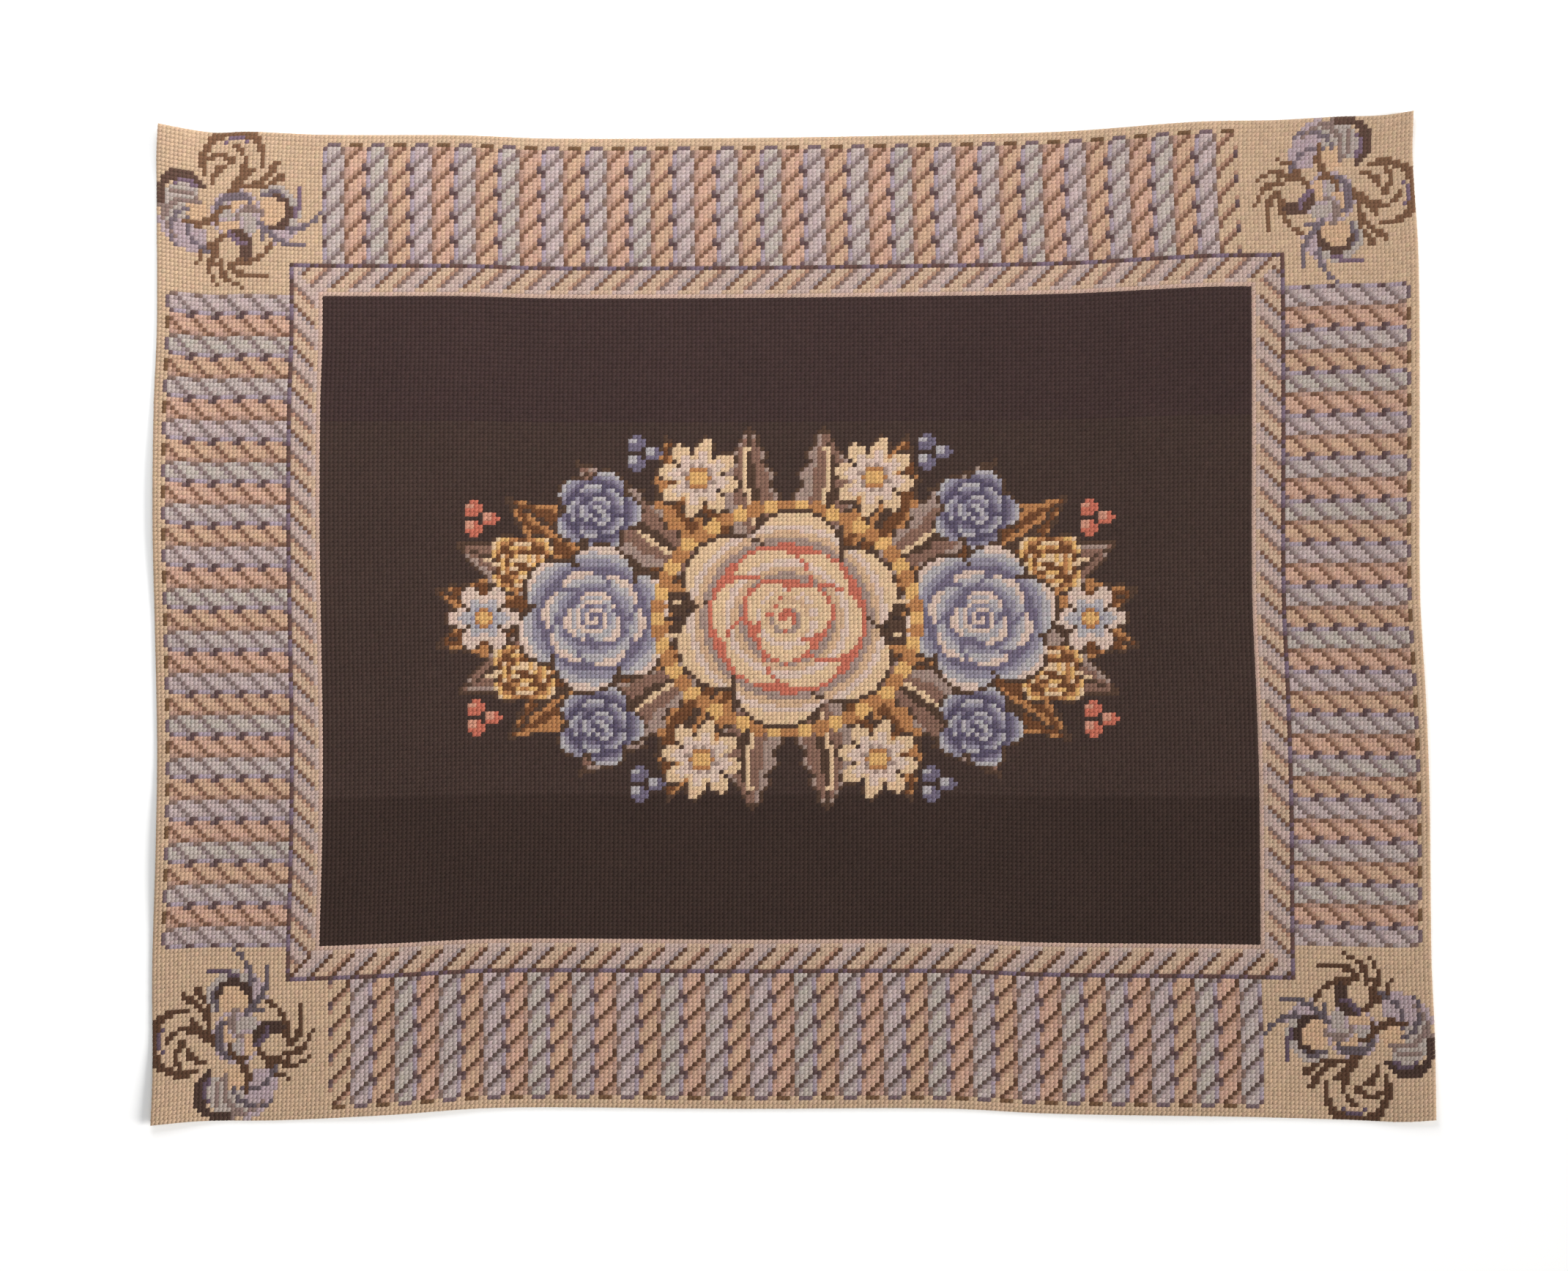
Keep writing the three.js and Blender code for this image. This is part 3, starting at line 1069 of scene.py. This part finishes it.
@dataclass(frozen=True)
class WoolFinish:
    """Matt worsted wool whose colour comes stitch by stitch from the chart."""

    name: str
    heather: float = 0.2
    fuzz: float = 0.5
    plies: float = 3.5
    roughness: float = 0.9
    sheen: float = 0.04
    sheen_roughness: float = 0.6
    bump: float = 0.5
    bump_depth: float = 0.4 * MM

    def material(self, ply: bpy.types.NodeTree) -> bpy.types.Material:
        """Build the material.

        Args:
            ply: the shared wool effect.

        Returns:
            The material.
        """
        sheet = MaterialSheet(self.name, self.roughness)
        sheet.give(sheet.shader, {"Sheen Weight": self.sheen, "Sheen Roughness": self.sheen_roughness})
        inputs = {"Heather": self.heather, "Fuzz": self.fuzz, "Plies": self.plies}
        wool = sheet.add("ShaderNodeGroup", inputs, node_tree=ply).outputs
        inputs = {0: sheet.layer("yarn", "Color"), "Scale": wool["Shade"]}
        colour = sheet.add("ShaderNodeVectorMath", inputs, operation="SCALE").outputs[0]
        return sheet.finish(colour, wool["Height"], self.bump, self.bump_depth)


@dataclass(frozen=True)
class CanvasFinish:
    """Cotton rug canvas, its face darkened with painted shade under the stitches so that none of it shines
    through them.
    """

    name: str = "rug canvas"
    thread_pitch: float = 1.35 * MM
    roughness: float = 0.88
    bump: float = 0.6
    bump_depth: float = 0.3 * MM
    # dark threads, light threads, and the painted shade that darkens the face under the stitches
    yarns: tuple[Yarn, Yarn, Yarn] = (Yarn.TAUPE, Yarn.CANVAS, Yarn.CANVAS_PAINTED_SHADE)

    def material(self) -> bpy.types.Material:
        """Build the material: two sets of threads that cross.

        Returns:
            The material.
        """
        sheet = MaterialSheet(self.name, self.roughness)
        place = sheet.add("ShaderNodeTexCoord").outputs["Object"]
        axes = sheet.add("ShaderNodeSeparateXYZ", {0: place}).outputs
        waves = [sheet.maths("SINE", sheet.maths("MULTIPLY", axis, math.pi / self.thread_pitch))
                 for axis in (axes[0], axes[1])]
        thread = sheet.maths("MAXIMUM", *(sheet.maths("ABSOLUTE", wave) for wave in waves))
        slub = sheet.noise(300.0, Vector=place, Detail=3.0)
        tone = sheet.maths("MULTIPLY", thread, sheet.maths("MULTIPLY_ADD", slub, 0.5, 0.75))
        # the face takes painted shade for the holes between the stitches, by the share the mesh gives each
        # point
        dark, light, painted_shade = ((*linear(yarn.value), 1) for yarn in self.yarns)
        colour = sheet.mix(sheet.layer("painted_shade_share", "Fac"), sheet.mix(tone, dark, light), painted_shade)
        return sheet.finish(colour, tone, self.bump, self.bump_depth)


@dataclass
class WorkedPart:
    """What the wool and the canvas share: the rug's outline, its grid and its chart."""

    outline: RugOutline
    grid: StitchGrid
    chart: Array

    def places(self, columns: Array, rows: Array) -> tuple[Array, Array, Array]:
        """Place points of the chart on the rug.

        Args:
            columns: stitches from the left edge.
            rows: stitches from the top edge.

        Returns:
            X and Y in metres, and how far the underside stands off the floor there.
        """
        along = self.grid.along(columns)
        across = self.grid.across(rows)
        return *self.outline.place(along, across), self.outline.lift(along, across)


@dataclass
class StitchedFace(WorkedPart):
    """All the wool of the rug's face, stitch by stitch, in pieces that follow the design."""

    form: StitchForm = StitchForm()
    canvas_height: float = 3.05 * MM
    edge_drop: float = 0.6 * MM
    unevenness: float = 0.025
    plumpness_spread: float = 0.08
    dye_spread: float = 0.035
    tint_spread: float = 0.012

    def region_masks(self) -> dict[Region, Array]:
        """Split the chart into pieces.

        Returns:
            For each region, which stitches are its own.
        """
        rows, columns, upright, level = self.grid.stitches()
        depth = np.minimum(upright, level)
        ground = depth >= self.grid.frame
        outside = depth < self.grid.frame - CordFrame().whole_width
        flowers = ground & ~np.isin(self.chart, [yarn.number for yarn in DarkGround.lots])
        plain = ground & ~flowers
        corner = outside & (np.maximum(upright, level) < self.grid.frame)
        ends = outside & ~corner & (upright < self.grid.frame)
        sides = outside & ~corner & (level < self.grid.frame)
        upper = rows < self.grid.rows / 2
        left = columns < self.grid.columns / 2
        return {
            Region.UPPER_GROUND: plain & upper,
            Region.LOWER_GROUND: plain & ~upper,
            Region.FLOWER_OVAL: flowers,
            Region.CORD: ~ground & ~outside,
            Region.CORNERS: corner,
            Region.TOP_ROPES: ends & upper,
            Region.BOTTOM_ROPES: ends & ~upper,
            Region.LEFT_ROPES: sides & left,
            Region.RIGHT_ROPES: sides & ~left,
        }

    def nodes(self) -> tuple[Array, Array, Array]:
        """Place the holes of the canvas, where stitches meet.

        Returns:
            X, Y and Z by row line and column line.
        """
        columns, rows = np.meshgrid(np.arange(self.grid.columns + 1), np.arange(self.grid.rows + 1))
        x, y, lift = self.places(columns, rows)
        rim = np.ones(lift.shape)
        rim[1:-1, 1:-1] = 0
        return x, y, lift + self.canvas_height - self.edge_drop * rim

    def panel(self, region: Region, mask: Array, material: bpy.types.Material,
              rng: np.random.Generator) -> bpy.types.Object:
        """Work one region's stitches as a mesh.

        Args:
            region: which piece it is.
            mask: its stitches.
            material: its wool.
            rng: the seeded source of unevenness.

        Returns:
            The piece.
        """
        x, y, z = self.nodes()
        rows, columns = np.nonzero(mask)
        shares, heights, faces, lay = self.form.template()
        count = len(rows)
        right, up = (share[None] + rng.normal(0, self.unevenness, (count, len(shares))) for share in shares.T)
        plump = 1 + rng.normal(0, self.plumpness_spread, (count, 1))

        def between(values: Array) -> Array:
            """Blend a cell's four corners to each point of its stitch."""
            low, high = (values[line, columns][:, None] * (1 - right)
                         + values[line, columns + 1][:, None] * right for line in (rows + 1, rows))
            return low * (1 - up) + high * up

        height = between(z) + heights[None] * plump
        points = np.stack([between(x), between(y), height], axis=-1).reshape(-1, 3)
        numbers = (faces[None] + (np.arange(count) * len(shares))[:, None, None]).reshape(-1, 3)
        mesh = new_mesh(region.value, points, numbers)
        dyed = dyed_wool(self.chart[rows, columns])
        dyed = dyed * (1 + rng.normal(0, self.dye_spread, (count, 1)))
        dyed = dyed * (1 + rng.normal(0, self.tint_spread, (count, 3)))
        colours = np.repeat(np.clip(dyed, 0, 1), len(shares), axis=0)
        dress_wool(mesh, points, colours, np.tile(lay, (count, 1)))
        log.info("%s: %d stitches, %d faces", region.value, count, len(numbers))
        return add_object(mesh, material)


@dataclass
class WorkedCanvas(WorkedPart):
    """The one cloth under the wool: canvas with its edges turned, and the backs of the stitches below."""

    top_height: float = 2.7 * MM
    back_height: float = 0.5 * MM
    hem_stitches: int = 6
    # share of painted shade on the canvas's face under the border, and stitches past the frame that take it
    # fully
    border_painted_shade: float = 0.6
    painted_shade_overlap: int = 2
    cells_along: int = 88
    cells_across: int = 68
    back_unevenness: float = 0.03
    back_dye_spread: float = 0.05

    def cloth(self, material: bpy.types.Material) -> bpy.types.Object:
        """Build the closed cloth: a face above, a face below and a rounded edge between them.

        Args:
            material: the canvas.

        Returns:
            The piece.
        """
        width = self.grid.columns
        height = self.grid.rows
        columns, rows = np.meshgrid(np.linspace(0, width, self.cells_along + 1),
                                    np.linspace(0, height, self.cells_across + 1))
        x, y, lift = self.places(columns, rows)
        number = np.arange(x.size).reshape(x.shape)
        ring = np.concatenate([number[-1, :-1], number[:0:-1, -1], number[0, :0:-1], number[:-1, 0]])
        halfway = self.outline.thickness / 2
        edge = np.stack([line.ravel()[ring] for line in (x, y, lift + halfway)], axis=-1)
        x += self.outline.turn_radius * ((columns == 0) * 1 - (columns == width))
        y += self.outline.turn_radius * ((rows == height) * 1 - (rows == 0))
        above, below = (np.stack([x, y, lift + level], axis=-1).reshape(-1, 3)
                        for level in (self.top_height, self.back_height))
        cells = grid_faces(number)
        turn = 2 * x.size + np.arange(len(ring))
        strips = [np.stack([low, np.roll(low, -1), np.roll(high, -1), high], axis=-1)
                  for low, high in ((ring + x.size, turn), (turn, ring))]
        faces = np.concatenate([cells, cells[:, ::-1] + x.size, *strips])
        points = np.concatenate([above, below, edge])
        mesh = new_mesh("canvas_cloth", points, faces)
        # painted shade on the canvas's face for the holes between the stitches: full under the dark middle,
        # partial under the border, none below or at the edge
        border = self.grid.frame - self.painted_shade_overlap
        middle = ((columns > border) & (columns < width - border) & (rows > border)
                  & (rows < height - border))
        painted_shade_share = np.zeros(len(points), np.float32)
        painted_shade_share[:len(above)] = np.where(middle, 1, self.border_painted_shade).ravel()
        mesh.attributes.new("painted_shade_share", "FLOAT", "POINT").data.foreach_set("value", painted_shade_share)
        log.info("canvas: %d faces", 2 * len(faces))
        return add_object(mesh, material)

    def backs(self, material: bpy.types.Material, rng: np.random.Generator) -> bpy.types.Object:
        """Lay the backs of the stitches, short upright bars of two faces each, under the canvas.

        Args:
            material: the wool.
            rng: the seeded source of unevenness.

        Returns:
            The piece.
        """
        inner = np.zeros(self.chart.shape, bool)
        inner[self.hem_stitches:-self.hem_stitches, self.hem_stitches:-self.hem_stitches] = True
        rows, columns = np.nonzero(inner)
        count = len(rows)
        shares = np.array([(0.12, 0.04), (0.88, 0.04), (0.88, 0.96), (0.12, 0.96)])
        points_each = len(shares)
        right, down = (lines[:, None] + share + rng.normal(0, self.back_unevenness, (count, points_each))
                       for lines, share in zip((columns, rows), shares.T))
        x, y, lift = self.places(right, down)
        z = lift + np.array([0.0, self.back_height, 0.0, self.back_height])
        points = np.stack([x, y, z], axis=-1).reshape(-1, 3)
        first = (np.arange(count) * points_each)[:, None]
        faces = np.concatenate([first + [0, 1, 2], first + [0, 2, 3]])
        mesh = new_mesh("stitch_backs", points, faces)
        dyed = dyed_wool(self.chart[rows, columns]) * (1 + rng.normal(0, self.back_dye_spread, (count, 1)))
        lay = np.tile([(0, 0, 0), (0, 1, 0), (1, 1, 0), (1, 0, 0)], (count, 1))
        dress_wool(mesh, points, np.repeat(dyed, points_each, axis=0), lay)
        log.info("backs: %d faces", len(faces))
        return add_object(mesh, material)


@dataclass(frozen=True)
class Studio:
    """A pale floor, a soft lamp, wide low light from the right, and a camera straight above."""

    camera_height: float = 4.2
    face_height: float = 4 * MM
    sensor: float = 36.0
    floor_size: float = 40.0
    floor_lines: int = 9
    floor_colour: Colour = (0.97, 0.97, 0.97)
    sky: float = 0.34
    lamp_place: tuple[float, ...] = (-0.4, 1.4, 1.15)
    lamp_size: float = 1.2
    lamp_power: float = 26.5
    lamp_colour: Colour = (0.97, 0.985, 1.0)
    side_light: float = 3.8
    side_light_colour: Colour = (1.0, 0.985, 0.965)
    # degrees from overhead, degrees towards the top border, and degrees across
    side_light_tilt: float = 64.0
    side_light_turn: float = -5.0
    side_light_spread: float = 30.0

    def floor(self) -> None:
        """Lay the floor, with a fine tooth in its paint."""
        steps = np.linspace(-self.floor_size / 2, self.floor_size / 2, self.floor_lines)
        x, y = np.meshgrid(steps, -steps)
        points = np.stack([x, y, np.zeros_like(x)], axis=-1).reshape(-1, 3)
        faces = grid_faces(np.arange(x.size).reshape(x.shape))
        sheet = MaterialSheet("pale floor", roughness=0.8, specular=0.1)
        paint = sheet.finish((*self.floor_colour, 1), sheet.noise(900.0), strength=0.1, distance=0.1 * MM)
        floor = add_object(new_mesh("floor", points, faces), paint)

    def lights(self) -> None:
        """Hang the soft lamp, which faces the rug, and let in the low light, which shades its left edge."""
        light = bpy.data.lights.new("soft lamp", "AREA")
        light.shape = "SQUARE"
        light.size = self.lamp_size
        light.energy = self.lamp_power
        light.color = self.lamp_colour
        lamp = add_object(light)
        lamp.location = self.lamp_place
        x, y, z = self.lamp_place
        lamp.rotation_euler = (math.atan2(math.hypot(x, y), z), 0, math.atan2(y, x) + math.pi / 2)
        light = bpy.data.lights.new("side light", "SUN")
        light.energy = self.side_light
        light.angle = math.radians(self.side_light_spread)
        light.color = self.side_light_colour
        lamp = add_object(light)
        lamp.rotation_euler = (0, math.radians(self.side_light_tilt), math.radians(self.side_light_turn))

    def camera(self) -> None:
        """Set the camera straight above, so that a pixel of the photograph is a pixel of the render."""
        data = bpy.data.cameras.new("camera above")
        data.sensor_fit = "HORIZONTAL"
        data.sensor_width = self.sensor
        data.lens = self.sensor * self.camera_height / (PHOTO_SIZE[0] * METRES_PER_PIXEL)
        camera = add_object(data)
        camera.location = ((PHOTO_SIZE[0] / 2 - PHOTO_MIDDLE_OF_RUG[0]) * METRES_PER_PIXEL,
                           (PHOTO_MIDDLE_OF_RUG[1] - PHOTO_SIZE[1] / 2) * METRES_PER_PIXEL,
                           self.camera_height + self.face_height)
        bpy.context.scene.camera = camera

    def build(self) -> None:
        """Set up the floor, the camera, the room's even light and the two lights."""
        self.floor()
        self.camera()
        world = bpy.data.worlds.new("soft room")
        world.use_nodes = True
        background = world.node_tree.nodes["Background"]
        NodeSheet(world.node_tree).give(background, {"Color": (1, 1, 1, 1), "Strength": self.sky})
        bpy.context.scene.world = world
        bpy.context.scene.view_settings.view_transform = "Standard"
        self.lights()
        log.info("studio is set")


@dataclass
class CrossStitchRug:
    """The rug: canvas, the wool on its face and the backs of the stitches."""

    outline: RugOutline = RugOutline()
    design: RugChart = RugChart()

    def finishes(self) -> dict[str, bpy.types.Material]:
        """Build the wools and the canvas; the backs share the border's wool.

        Returns:
            Materials by slot name.
        """
        ply = wool_ply_group()
        return {
            "dark_wool": WoolFinish("dark wool", heather=0.3, sheen=0.02).material(ply),
            "border_wool": WoolFinish("border wool").material(ply),
            "motif_wool": WoolFinish("motif wool").material(ply),
            "rug_canvas": CanvasFinish().material(),
        }

    def build(self) -> None:
        """Make every piece, attach each to the root body, and hide the imported rug."""
        rng = np.random.default_rng(SEED)
        wools = self.finishes()
        chart = self.design.cells()
        grid = self.design.grid
        canvas = WorkedCanvas(self.outline, grid, chart)
        cloth = canvas.cloth(wools["rug_canvas"])
        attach(cloth, "root")
        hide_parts("rug")
        backs = canvas.backs(wools["border_wool"], rng)
        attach(backs, "root")
        face = StitchedFace(self.outline, grid, chart)
        slots = {Region.UPPER_GROUND: "dark_wool", Region.LOWER_GROUND: "dark_wool",
                 Region.FLOWER_OVAL: "motif_wool", Region.CORNERS: "motif_wool"}
        for region, mask in face.region_masks().items():
            slot = slots.get(region, "border_wool")
            piece = face.panel(region, mask, wools[slot], rng)
            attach(piece, "root")


def main() -> None:
    """Build the rug and the studio."""
    logging.basicConfig(level=logging.INFO, format="%(message)s")
    CrossStitchRug().build()
    Studio().build()


if __name__ == "__main__":
    main()
